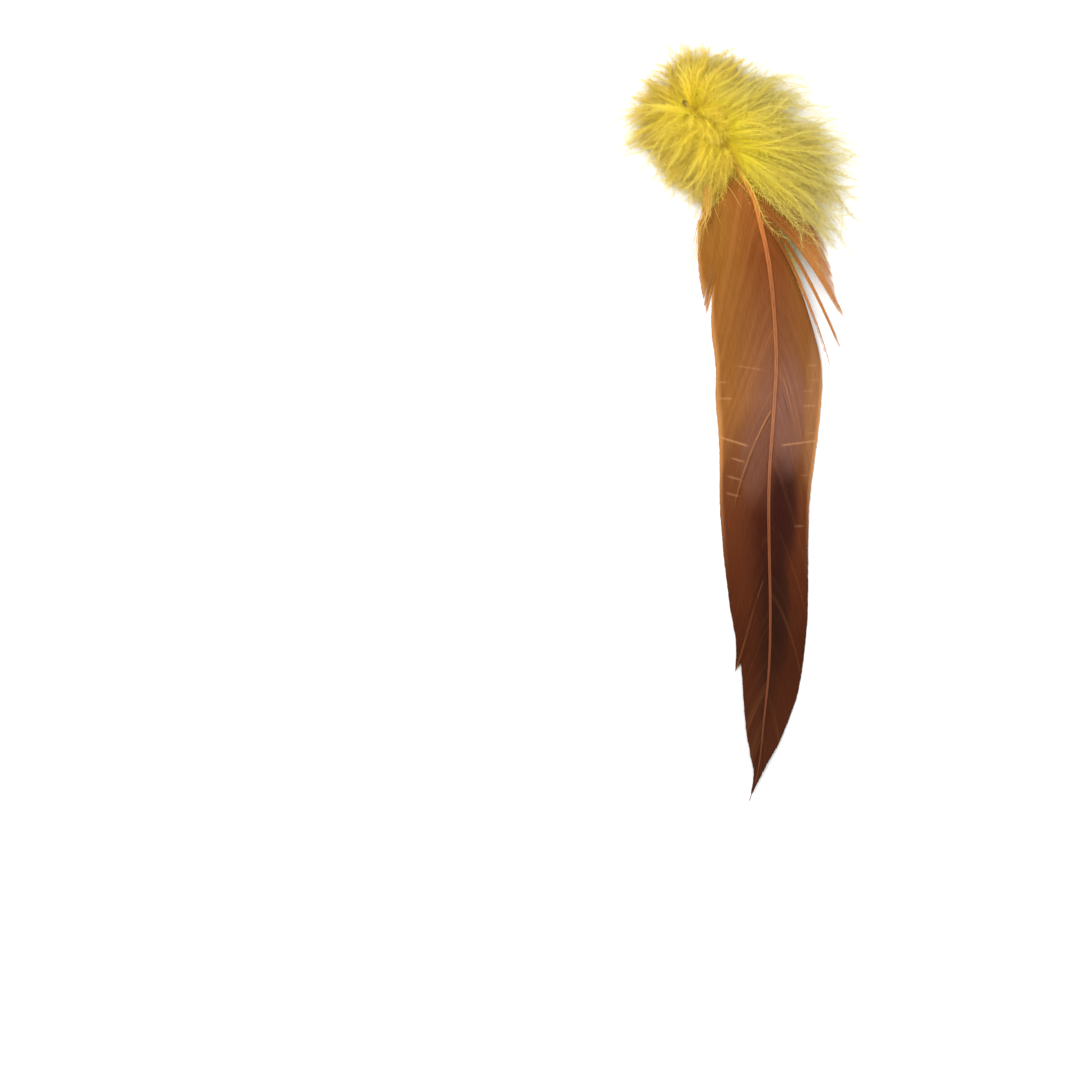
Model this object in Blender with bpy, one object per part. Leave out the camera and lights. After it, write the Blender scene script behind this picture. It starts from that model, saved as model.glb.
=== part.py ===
"""A dyed cockerel feather, lying on a flat surface with its outer side up.

It grew as one piece, so it is one solid: a hollow-tipped quill that runs on as the shaft, a vane on
each side of it, a flap and two strands of the right vane that have come apart, and locks of down
round the lower shaft. Metres, +Z up. The quill points to +Y and the tip to -Y, and the origin is on
the surface, under the middle of the feather's box.
"""

import math
import random
from dataclasses import dataclass

import bmesh
import bpy
import numpy as np
from mathutils import Vector

MM = 0.001

# Where the quill's end lies, so that the origin is under the middle of the feather's box: x and y, in mm.
QUILL_END_MM = (-13.23, 68.23)

# The shaft's middle, from the quill's end to the tip: x and y from the quill's end, and height, in mm.
SHAFT_ROUTE_MM = (
    (0.0, 0.0, 4.0),
    (7.0, -7.4, 4.9),
    (14.6, -19.4, 5.5),
    (18.2, -35.9, 5.6),
    (19.4, -58.7, 5.2),
    (18.2, -77.8, 4.5),
    (18.5, -105.0, 3.0),
    (17.2, -130.2, 1.5),
    (16.1, -140.4, 0.9),
    (14.2, -147.5, 0.5),
)
ROUTE_STEPS = 44  # between one point and the next

# Distance along the shaft against its radius, in mm.
SHAFT_RADIUS_MM = (
    (0.0, 0.58), (2.0, 0.74), (9.0, 0.72), (20.0, 0.58), (50.0, 0.44),
    (80.0, 0.36), (110.0, 0.29), (135.0, 0.22), (153.2, 0.14),
)
SHAFT_RINGS = 34
SHAFT_SIDES = 8
QUILL_HOLE_MM = 0.34
QUILL_HOLE_DEPTH_MM = 5.0

# Distance along the shaft against how far each vane reaches from it, in mm.
LEFT_VANE_MM = (
    (11.0, 0.4), (17.0, 6.6), (24.0, 10.6), (33.6, 13.6), (41.0, 14.2), (50.0, 13.5), (56.0, 12.7),
    (73.7, 11.4), (94.0, 9.7), (112.8, 8.0), (123.4, 6.8), (134.9, 4.3), (145.3, 1.4), (150.0, 0.3),
)
RIGHT_VANE_MM = (
    (11.0, 0.3), (30.0, 0.4), (36.0, 2.5), (45.6, 6.1), (53.6, 8.9), (59.1, 10.1), (68.0, 10.6), (81.0, 9.9),
    (94.0, 9.1), (112.8, 8.0), (123.4, 7.3), (134.9, 5.8), (140.4, 4.2), (145.3, 2.0), (150.0, 0.3),
)
VANE_THICKNESS = 0.5 * MM
VANE_BELOW_SHAFT = 0.4 * MM  # from the shaft's middle down to the vane's underside
VANE_STATIONS = 38
VANE_COLUMNS = 5
DROOP_PER_MM = 0.050  # drop below the shaft, per square millimetre of reach
RESTING_DEPTH = 0.12 * MM  # how far what rests dips below the surface before it is cut flat
SETTLING = 0.45 * MM  # how softly the droop turns level as it meets the surface

# The flap: where it grows from the shaft, and along against across, in mm, at its near and far side.
FLAP_ROOTS_MM = (12.5, 28.5)
FLAP_NEAR_RUN_MM = ((0.0, 0.3), (9.0, 5.2), (18.0, 9.6), (25.5, 13.4))
FLAP_FAR_RUN_MM = ((0.0, 0.3), (6.7, 4.7), (13.5, 10.2), (20.6, 15.3))
FLAP_STATIONS = 8
FLAP_COLUMNS = 5
FLAP_DROOP_PER_MM = 0.030


@dataclass(frozen=True)
class Strand:
    """A narrow bundle of barbs that has come loose, in mm: root, run along and across, width, and bow."""

    root: float
    run: float
    reach: float
    width: float
    bow: float


@dataclass(frozen=True)
class DownRow:
    """A row of down locks: ranges run from the lock nearest the quill's end to the last. Lift in mm."""

    count: int
    side: int
    roots_mm: tuple
    length_mm: tuple
    angle_deg: tuple
    lift_mm: float


LOOSE_STRANDS = (
    Strand(root=30.0, run=27.5, reach=14.6, width=1.5, bow=0.10),
    Strand(root=33.5, run=27.0, reach=11.9, width=1.2, bow=0.16),
    Strand(root=8.5, run=34.0, reach=-18.4, width=1.1, bow=0.35),
    Strand(root=10.5, run=26.0, reach=-15.6, width=1.2, bow=0.40),
)
STRAND_THICKNESS = 0.8 * MM

DOWN_SEED = 12
DOWN_ROWS = (
    DownRow(15, 1, roots_mm=(3.6, 18.5), length_mm=(15.0, 31.5), angle_deg=(122, 33), lift_mm=-3.0),
    DownRow(13, 1, roots_mm=(4.2, 17.0), length_mm=(13.0, 29.0), angle_deg=(116, 36), lift_mm=3.6),
    DownRow(14, -1, roots_mm=(3.8, 15.5), length_mm=(16.5, 12.5), angle_deg=(126, 44), lift_mm=-3.0),
    DownRow(12, -1, roots_mm=(4.4, 13.5), length_mm=(15.0, 11.5), angle_deg=(118, 48), lift_mm=3.4),
    DownRow(4, 1, roots_mm=(2.4, 3.4), length_mm=(10.5, 13.0), angle_deg=(166, 136), lift_mm=2.2),
    DownRow(4, -1, roots_mm=(2.4, 3.6), length_mm=(10.5, 13.0), angle_deg=(172, 138), lift_mm=-2.2),
    DownRow(2, 1, roots_mm=(3.2, 6.0), length_mm=(8.5, 9.5), angle_deg=(40, 25), lift_mm=5.9),
    DownRow(2, -1, roots_mm=(3.6, 6.4), length_mm=(8.5, 9.0), angle_deg=(40, 25), lift_mm=5.9),
)
LENGTH_SPREAD = (0.90, 1.06)
LIFT_SPREAD = (0.75, 1.20)
WIDTH_SPREAD = (0.85, 1.15)
ANGLE_SPREAD_DEG = 2.5
LOCK_WIDTH = 3.0 * MM
LOCK_THICKNESS = 1.5 * MM
LOCK_RINGS = 5
LOCK_BEND_DEG = 20.0
LOCK_FALL = 0.8  # how much of its root's height a lock loses by its end
LOCK_ARCH_END = 0.87  # where along a lock its lift has died away
LOWEST_LOCK_MIDDLE = 0.45 * MM
FULL_FROM = 0.18  # a lock's fullness is the part of a half wave from here
FULL_TO = 0.98  # to here
THINNEST = 0.12

FLOOR_CUTTER_SIZE = 0.4
SHARP_DEG = 30


def clear_scene():
    """Removes the objects that a new file starts with."""
    for obj in list(bpy.data.objects):
        bpy.data.objects.remove(obj)


def make_material(name, colour, roughness):
    """A plain Principled material."""
    material = bpy.data.materials.new(name)
    material.use_nodes = True
    shader = material.node_tree.nodes["Principled BSDF"]
    shader.inputs["Base Color"].default_value = (*colour, 1.0)
    shader.inputs["Roughness"].default_value = roughness
    shader.inputs["Metallic"].default_value = 0.0
    return material


def smooth_route(points):
    """Points along a Catmull-Rom curve through the given ones."""
    fixed = [2 * points[0] - points[1], *points, 2 * points[-1] - points[-2]]
    curve = []
    for before, start, end, after in zip(fixed, fixed[1:], fixed[2:], fixed[3:]):
        slope = end - before
        square = 2 * before - 5 * start + 4 * end - after
        cube = 3 * start - before - 3 * end + after
        for step in range(ROUTE_STEPS):
            t = step / ROUTE_STEPS
            curve.append(0.5 * (2 * start + slope * t + square * t**2 + cube * t**3))
    curve.append(points[-1])
    return np.array(curve)


class Shaft:
    """The shaft's middle line, read by distance from the quill's end."""

    def __init__(self):
        start = np.array((*QUILL_END_MM, 0.0))
        route = smooth_route([(start + np.array(p)) * MM for p in SHAFT_ROUTE_MM])
        steps = np.linalg.norm(np.diff(route, axis=0), axis=1)
        self.route = route
        self.distance = np.concatenate([[0.0], np.cumsum(steps)])
        self.length = self.distance[-1]

    def point(self, distance):
        """Where the shaft's middle is."""
        return Vector([float(np.interp(distance, self.distance, self.route[:, axis])) for axis in range(3)])

    def along(self, distance):
        """The direction towards the tip."""
        step = 0.5 * MM
        return (self.point(distance + step) - self.point(distance - step)).normalized()

    def across(self, distance):
        """The level direction to the right of the shaft, seen from above with the quill at the top."""
        along = self.along(distance)
        return Vector((-along.y, along.x, 0.0)).normalized()


def read(table, distance_mm):
    """A value from a table of millimetres against millimetres, in metres."""
    where, value = zip(*table)
    return float(np.interp(distance_mm, where, value)) * MM


def finish_mesh(name, bm):
    """An object from a bmesh, with its faces pointing out."""
    bmesh.ops.recalc_face_normals(bm, faces=bm.faces)
    mesh = bpy.data.meshes.new(name)
    bm.to_mesh(mesh)
    bm.free()
    obj = bpy.data.objects.new(name, mesh)
    bpy.context.scene.collection.objects.link(obj)
    return obj


def between(ends, share):
    """A value part of the way from the first end to the last."""
    return ends[0] + (ends[-1] - ends[0]) * share


def loft(name, rings, pointed=False):
    """A closed tube through rings of points, with a flat start and a flat or pointed end."""
    bm = bmesh.new()
    made = [[bm.verts.new(p) for p in ring] for ring in rings]
    for ring, following in zip(made, made[1:]):
        for i, vert in enumerate(ring):
            after = (i + 1) % len(ring)
            bm.faces.new((vert, ring[after], following[after], following[i]))
    bm.faces.new(made[0][::-1])
    bm.faces.new(made[-1])
    if pointed:
        middle = sum(rings[-1], Vector()) / len(rings[-1])
        bmesh.ops.pointmerge(bm, verts=made[-1], merge_co=middle)
    return finish_mesh(name, bm)


def blade(name, rows, thickness):
    """A closed thin slab over a grid of points of its underside."""
    bm = bmesh.new()
    grid = [[bm.verts.new(p) for p in row] for row in rows]
    for row, following in zip(grid, grid[1:]):
        for i in range(len(row) - 1):
            bm.faces.new((row[i], row[i + 1], following[i + 1], following[i]))
    bmesh.ops.recalc_face_normals(bm, faces=bm.faces)
    if sum(face.normal.z for face in bm.faces) < 0:
        bmesh.ops.reverse_faces(bm, faces=bm.faces)
    lower = list(bm.faces)
    raised = bmesh.ops.extrude_face_region(bm, geom=lower, use_keep_orig=True)
    for vert in [v for v in raised["geom"] if isinstance(v, bmesh.types.BMVert)]:
        vert.co.z += thickness
    return finish_mesh(name, bm)


def vane_point(shaft, distance, reach, droop_per_mm):
    """A point of a vane's underside: reach to the right of the shaft, drooping as far as the surface."""
    sunk = droop_per_mm * (reach / MM) ** 2 * MM
    point = shaft.point(distance) + reach * shaft.across(distance)
    clear = (point.z - sunk - VANE_BELOW_SHAFT + RESTING_DEPTH) / SETTLING
    point.z = SETTLING * math.log1p(math.exp(clear)) - RESTING_DEPTH
    return point


def make_vanes(shaft):
    """Both vanes as one thin sheet, from the left edge under the shaft to the right edge."""
    stations = np.linspace(LEFT_VANE_MM[0][0], LEFT_VANE_MM[-1][0], VANE_STATIONS)
    rows = []
    for station in stations:
        left, right = read(LEFT_VANE_MM, station), read(RIGHT_VANE_MM, station)
        reaches = [-left * column / VANE_COLUMNS for column in range(VANE_COLUMNS, 0, -1)]
        reaches += [right * column / VANE_COLUMNS for column in range(VANE_COLUMNS + 1)]
        rows.append([vane_point(shaft, station * MM, reach, DROOP_PER_MM) for reach in reaches])
    return blade("vanes", rows, VANE_THICKNESS)


def make_flap(shaft):
    """The top of the right vane, which has come away and lies further out."""
    sides = (FLAP_NEAR_RUN_MM, FLAP_FAR_RUN_MM)
    rows = []
    for station in range(FLAP_STATIONS + 1):
        runs = [side[-1][0] * station / FLAP_STATIONS for side in sides]
        reaches = [read(side, run) for side, run in zip(sides, runs)]
        row = []
        for column in range(FLAP_COLUMNS + 1):
            mix = column / FLAP_COLUMNS
            distance = (between(FLAP_ROOTS_MM, mix) + between(runs, mix)) * MM
            row.append(vane_point(shaft, distance, between(reaches, mix), FLAP_DROOP_PER_MM))
        rows.append(row)
    return blade("flap", rows, VANE_THICKNESS)


def diamond(middle, along, width, thickness):
    """Four points round the middle, level across and upright."""
    across = along.cross(Vector((0, 0, 1))).normalized()
    up = across.cross(along).normalized()
    corners = ((1, 0), (0, 1), (-1, 0), (0, -1))
    return [middle + across * c * width / 2 + up * u * thickness / 2 for c, u in corners]


def tapered_lock(name, path, width, thickness):
    """A lock along a path: narrow at the root, full in its middle, and pointed."""
    rings = []
    last = len(path) - 1
    for i, middle in enumerate(path):
        along = (path[min(i + 1, last)] - path[max(i - 1, 0)]).normalized()
        fullness = max(THINNEST, math.sin(math.pi * between((FULL_FROM, FULL_TO), i / last)))
        rings.append(diamond(middle, along, width * fullness, thickness * fullness))
    return loft(name, rings, pointed=True)


def strand_path(shaft, strand):
    """The middle of a loose strand, from inside the shaft out and along to its end."""
    path = []
    for step in range(LOCK_RINGS + 2):
        share = step / (LOCK_RINGS + 1)
        run = (strand.root + strand.run * share) * MM
        out = strand.reach * MM * (share + strand.bow * share * (1 - share))
        point = vane_point(shaft, run, out, FLAP_DROOP_PER_MM)
        point.z = max(point.z + STRAND_THICKNESS / 2, LOWEST_LOCK_MIDDLE)
        path.append(point)
    return path


def lock_path(shaft, root, side, length, angle_deg, lift):
    """The middle of a down lock: out from the shaft, bending towards the tip, and down to the surface."""
    start = shaft.point(root)
    across = shaft.across(root)
    along = Vector((across.y, -across.x, 0))
    path = [start]
    for i in range(LOCK_RINGS):
        angle = math.radians(angle_deg - LOCK_BEND_DEG * (i + 0.5) / LOCK_RINGS)
        heading = along * math.cos(angle) + across * side * math.sin(angle)
        path.append(path[-1] + heading * length / LOCK_RINGS)
    for i, point in enumerate(path):
        share = i / LOCK_RINGS
        arch = lift * math.sin(math.pi * min(1.0, share / LOCK_ARCH_END))
        point.z = max(start.z * (1 - LOCK_FALL * share**2) + arch, LOWEST_LOCK_MIDDLE)
    return path


def make_down(shaft):
    """All the locks of down, in rows on either side and above and below the shaft."""
    draw = random.Random(DOWN_SEED)
    locks = []
    for row_number, row in enumerate(DOWN_ROWS):
        for i in range(row.count):
            share = i / (row.count - 1)
            root = between(row.roots_mm, share) * MM
            length = between(row.length_mm, share) * MM * draw.uniform(*LENGTH_SPREAD)
            angle = between(row.angle_deg, share) + draw.uniform(-ANGLE_SPREAD_DEG, ANGLE_SPREAD_DEG)
            lift = row.lift_mm * MM * draw.uniform(*LIFT_SPREAD)
            path = lock_path(shaft, root, row.side, length, angle, lift)
            width = LOCK_WIDTH * draw.uniform(*WIDTH_SPREAD)
            locks.append(tapered_lock(f"lock_{row_number}_{i}", path, width, LOCK_THICKNESS))
    return locks


def make_shaft(shaft):
    """The quill and shaft as one tapered tube."""
    rings = []
    for i in range(SHAFT_RINGS):
        distance = shaft.length * i / (SHAFT_RINGS - 1)
        radius = read(SHAFT_RADIUS_MM, distance / MM)
        along, across = shaft.along(distance), shaft.across(distance)
        up = along.cross(across).normalized()
        if up.z < 0:
            up = -up
        middle = shaft.point(distance)
        turns = [2 * math.pi * side / SHAFT_SIDES for side in range(SHAFT_SIDES)]
        rings.append([middle + radius * (across * math.cos(a) + up * math.sin(a)) for a in turns])
    return loft("feather", rings)


def make_quill_hole(shaft):
    """The cutter for the small hole in the quill's end."""
    start = shaft.point(0) - shaft.along(0) * MM
    end = shaft.point(QUILL_HOLE_DEPTH_MM * MM)
    depth = (end - start).length
    bpy.ops.mesh.primitive_cylinder_add(vertices=SHAFT_SIDES, radius=QUILL_HOLE_MM * MM, depth=depth)
    hole = bpy.context.object
    hole.location = (start + end) / 2
    hole.rotation_mode = "QUATERNION"
    hole.rotation_quaternion = (end - start).to_track_quat("Z", "Y")
    return as_guide(hole)


def make_floor_cutter():
    """A block whose top is the surface that the feather lies on."""
    bpy.ops.mesh.primitive_cube_add(size=FLOOR_CUTTER_SIZE, location=(0, 0, -FLOOR_CUTTER_SIZE / 2))
    return as_guide(bpy.context.object)


def as_guide(obj):
    """Marks an object as a cutter or operand and not a piece."""
    obj.hide_render = True
    obj.display_type = "WIRE"
    return obj


def add_boolean(obj, name, operation, other=None, collection=None):
    """One Boolean modifier, with an object or a collection."""
    modifier = obj.modifiers.new(name, "BOOLEAN")
    modifier.operation = operation
    modifier.solver = "EXACT"
    if collection is None:
        modifier.object = other
    else:
        modifier.operand_type = "COLLECTION"
        modifier.collection = collection


def make_feather():
    """The whole feather as one closed body."""
    shaft = Shaft()
    feather = make_shaft(shaft)
    grown = [
        make_vanes(shaft),
        make_flap(shaft),
        *[tapered_lock(f"strand_{i}", strand_path(shaft, strand), strand.width * MM, STRAND_THICKNESS)
          for i, strand in enumerate(LOOSE_STRANDS)],
        *make_down(shaft),
    ]
    joined = bpy.data.collections.new("grown_parts")
    bpy.context.scene.collection.children.link(joined)
    for piece in grown:
        bpy.context.scene.collection.objects.unlink(piece)
        joined.objects.link(as_guide(piece))
    add_boolean(feather, "join vanes and down", "UNION", collection=joined)
    add_boolean(feather, "lie flat on the surface", "DIFFERENCE", other=make_floor_cutter())
    add_boolean(feather, "open the quill", "DIFFERENCE", other=make_quill_hole(shaft))
    return feather


def main():
    clear_scene()
    feather = make_feather()
    feather.data.materials.append(make_material("dyed_barbs", (0.42, 0.14, 0.04), 0.55))
    feather.data.shade_smooth()
    feather.data.set_sharp_from_angle(angle=math.radians(SHARP_DEG))


main()
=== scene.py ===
"""A dyed cock's feather, lying on a pale surface with its outer side up.

The shaft is drawn out by hand from a ring. The vanes, the loose strands and the down are joined meshes
of single barbs, worked out from the shaft's line. Metres, +Z up, quill towards +Y and tip towards -Y.
"""

import logging
import math
from dataclasses import dataclass, field
from enum import Enum

import bpy
import numpy as np
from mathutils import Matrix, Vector


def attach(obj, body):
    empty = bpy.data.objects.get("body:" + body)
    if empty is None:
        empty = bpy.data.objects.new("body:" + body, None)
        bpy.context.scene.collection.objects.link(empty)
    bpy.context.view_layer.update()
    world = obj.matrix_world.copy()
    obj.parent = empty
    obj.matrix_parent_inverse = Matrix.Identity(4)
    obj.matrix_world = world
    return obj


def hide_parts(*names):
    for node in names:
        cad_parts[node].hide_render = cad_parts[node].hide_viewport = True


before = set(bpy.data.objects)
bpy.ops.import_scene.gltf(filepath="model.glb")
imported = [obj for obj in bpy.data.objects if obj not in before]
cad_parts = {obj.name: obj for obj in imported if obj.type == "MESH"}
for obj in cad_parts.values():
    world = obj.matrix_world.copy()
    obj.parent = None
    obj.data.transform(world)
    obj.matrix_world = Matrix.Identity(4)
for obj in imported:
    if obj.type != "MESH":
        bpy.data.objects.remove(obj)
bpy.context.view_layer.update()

log = logging.getLogger("feather")

MM = 0.001
NODE = "feather"
BODY = "root"
MAP_LENGTH = 160.0  # millimetres along the shaft that fill the vane map
MAP_WIDTH = 40.0  # millimetres across both vanes that fill it
AT_END = 0.001 * MM  # nearer the start than this is the quill's end face


class Side(Enum):
    """The sides of the shaft, seen from above with the quill at the top."""

    LEFT = -1
    RIGHT = 1


def colour(red: int, green: int, blue: int) -> tuple[float, float, float, float]:
    """A display colour of 0 to 255 a channel as the linear one that shaders take.

    Args:
        red: the red channel.
        green: the green channel.
        blue: the blue channel.

    Returns:
        Linear red, green, blue and an alpha of 1.
    """
    linear = []
    for channel in (red, green, blue):
        share = channel / 255
        linear.append(share / 12.92 if share <= 0.04045 else ((share + 0.055) / 1.055) ** 2.4)
    return (*linear, 1.0)


def ease(low: float, high: float, value: np.ndarray) -> np.ndarray:
    """A smooth step from 0 at low to 1 at high."""
    share = np.clip((value - low) / (high - low), 0.0, 1.0)
    return share * share * (3 - 2 * share)


def wander(where: np.ndarray, pitch: float, seed: int) -> np.ndarray:
    """Smooth random values from -1 to 1 that change once in each pitch.

    Args:
        where: the places to read, in the same unit as the pitch.
        pitch: the distance between one random value and the next.
        seed: the seed of the random values.

    Returns:
        One value for each place.
    """
    values = np.random.default_rng(seed).uniform(-1.0, 1.0, 4096)
    place = np.asarray(where, float) / pitch
    cell = np.floor(place).astype(int)
    share = place - cell
    share = share * share * (3 - 2 * share)
    return values[cell % 4096] * (1 - share) + values[(cell + 1) % 4096] * share


def unit(vectors: np.ndarray) -> np.ndarray:
    """The vectors at length 1. One that has no length stays as it is."""
    return vectors / (np.linalg.norm(vectors, axis=-1, keepdims=True) + 1e-12)


def on_barbs(paths: np.ndarray, at: np.ndarray) -> tuple[np.ndarray, np.ndarray, tuple]:
    """Where barbules grow on their barbs.

    Args:
        paths: the middle of each barb, as barbs x points x 3.
        at: the places on each barb, counted in its points.

    Returns:
        The positions, the barb's direction at each, and the index of the point before each.
    """
    cell = np.minimum(at.astype(int), paths.shape[1] - 2)
    part = (at - cell)[..., None]
    row = np.arange(len(paths))[:, None]
    roots = paths[row, cell] * (1 - part) + paths[row, cell + 1] * part
    return roots, unit(paths[row, cell + 1] - paths[row, cell]), (row, cell)


def deselect() -> None:
    """Leaves nothing selected, so that an operator acts only on what is picked next."""
    if bpy.context.object and bpy.context.object.mode != "OBJECT":
        bpy.ops.object.mode_set(mode="OBJECT")
    bpy.ops.object.select_all(action="DESELECT")


def dress(piece: bpy.types.Object) -> bpy.types.Object:
    """Makes a finished piece part of the feather.

    Args:
        piece: the piece, in place.

    Returns:
        The same piece.
    """
    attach(piece, BODY)
    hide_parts(NODE)
    log.info("%s: %d faces", piece.name, len(piece.data.polygons))
    return piece


@dataclass
class DrawnLine:
    """A smooth line through measured points, read by distance from its start in millimetres."""

    quill_end: tuple[float, float] = (-13.23, 68.23)
    route: tuple[tuple[float, float, float], ...] = (
        (0.0, 0.0, 4.0),
        (7.0, -7.4, 4.9),
        (13.9, -18.6, 5.45),
        (15.8, -24.6, 5.55),
        (18.1, -35.9, 5.6),
        (19.4, -52.0, 5.35),
        (19.1, -63.0, 5.05),
        (18.1, -77.8, 4.5),
        (18.0, -89.0, 3.9),
        (18.4, -107.0, 2.9),
        (18.2, -119.0, 2.2),
        (17.2, -130.2, 1.5),
        (16.1, -140.4, 0.9),
        (14.2, -147.5, 0.5),
    )
    steps: int = 44

    def __post_init__(self) -> None:
        """Works out the smooth line through the route's points."""
        points = [np.array((self.quill_end[0] + x, self.quill_end[1] + y, z)) for x, y, z in self.route]
        fixed = [2 * points[0] - points[1], *points, 2 * points[-1] - points[-2]]
        line = []
        for before, start, end, after in zip(fixed, fixed[1:], fixed[2:], fixed[3:]):
            slope = end - before
            square = 2 * before - 5 * start + 4 * end - after
            cube = 3 * start - before - 3 * end + after
            for step in range(self.steps):
                t = step / self.steps
                line.append(0.5 * (2 * start + slope * t + square * t**2 + cube * t**3))
        line.append(points[-1])
        self.line = np.array(line)
        gaps = np.linalg.norm(np.diff(self.line, axis=0), axis=1)
        self.distance = np.concatenate([[0.0], np.cumsum(gaps)])
        self.length = float(self.distance[-1])

    def point(self, along: np.ndarray) -> np.ndarray:
        """The line's points at these distances, in millimetres."""
        return np.stack([np.interp(along, self.distance, self.line[:, axis]) for axis in range(3)], axis=-1)

    def heading(self, along: np.ndarray) -> np.ndarray:
        """The directions towards the tip at these distances."""
        return unit(self.point(along + 0.5) - self.point(along - 0.5))

    def across(self, along: np.ndarray) -> np.ndarray:
        """The level directions to the right of the shaft at these distances."""
        ahead = self.heading(along)
        sideways = np.stack([-ahead[..., 1], ahead[..., 0], np.zeros_like(ahead[..., 0])], axis=-1)
        return unit(sideways)


@dataclass
class VaneSurface:
    """The curved sheet that the barbs lie in: it droops from the shaft and settles on the surface."""

    shaft: DrawnLine
    droop: float = 0.050
    below_shaft: float = 0.40
    resting_depth: float = 0.12
    settling: float = 0.45

    def place(
        self, along: np.ndarray, reach: np.ndarray, height: np.ndarray, droop: float = 0.0
    ) -> np.ndarray:
        """Points of the sheet.

        Args:
            along: distances along the shaft, in millimetres.
            reach: distances to the right of it, negative to the left, in millimetres.
            height: heights over the sheet's underside, in millimetres.
            droop: another droop for barbs that are loose, or 0 for the vane's own.

        Returns:
            The points, in millimetres.
        """
        points = self.shaft.point(along) + reach[..., None] * self.shaft.across(along)
        sunk = (droop or self.droop) * reach**2
        clear = (points[..., 2] - sunk - self.below_shaft + self.resting_depth) / self.settling
        points[..., 2] = self.settling * np.logaddexp(0.0, clear) - self.resting_depth + height
        return points


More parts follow.
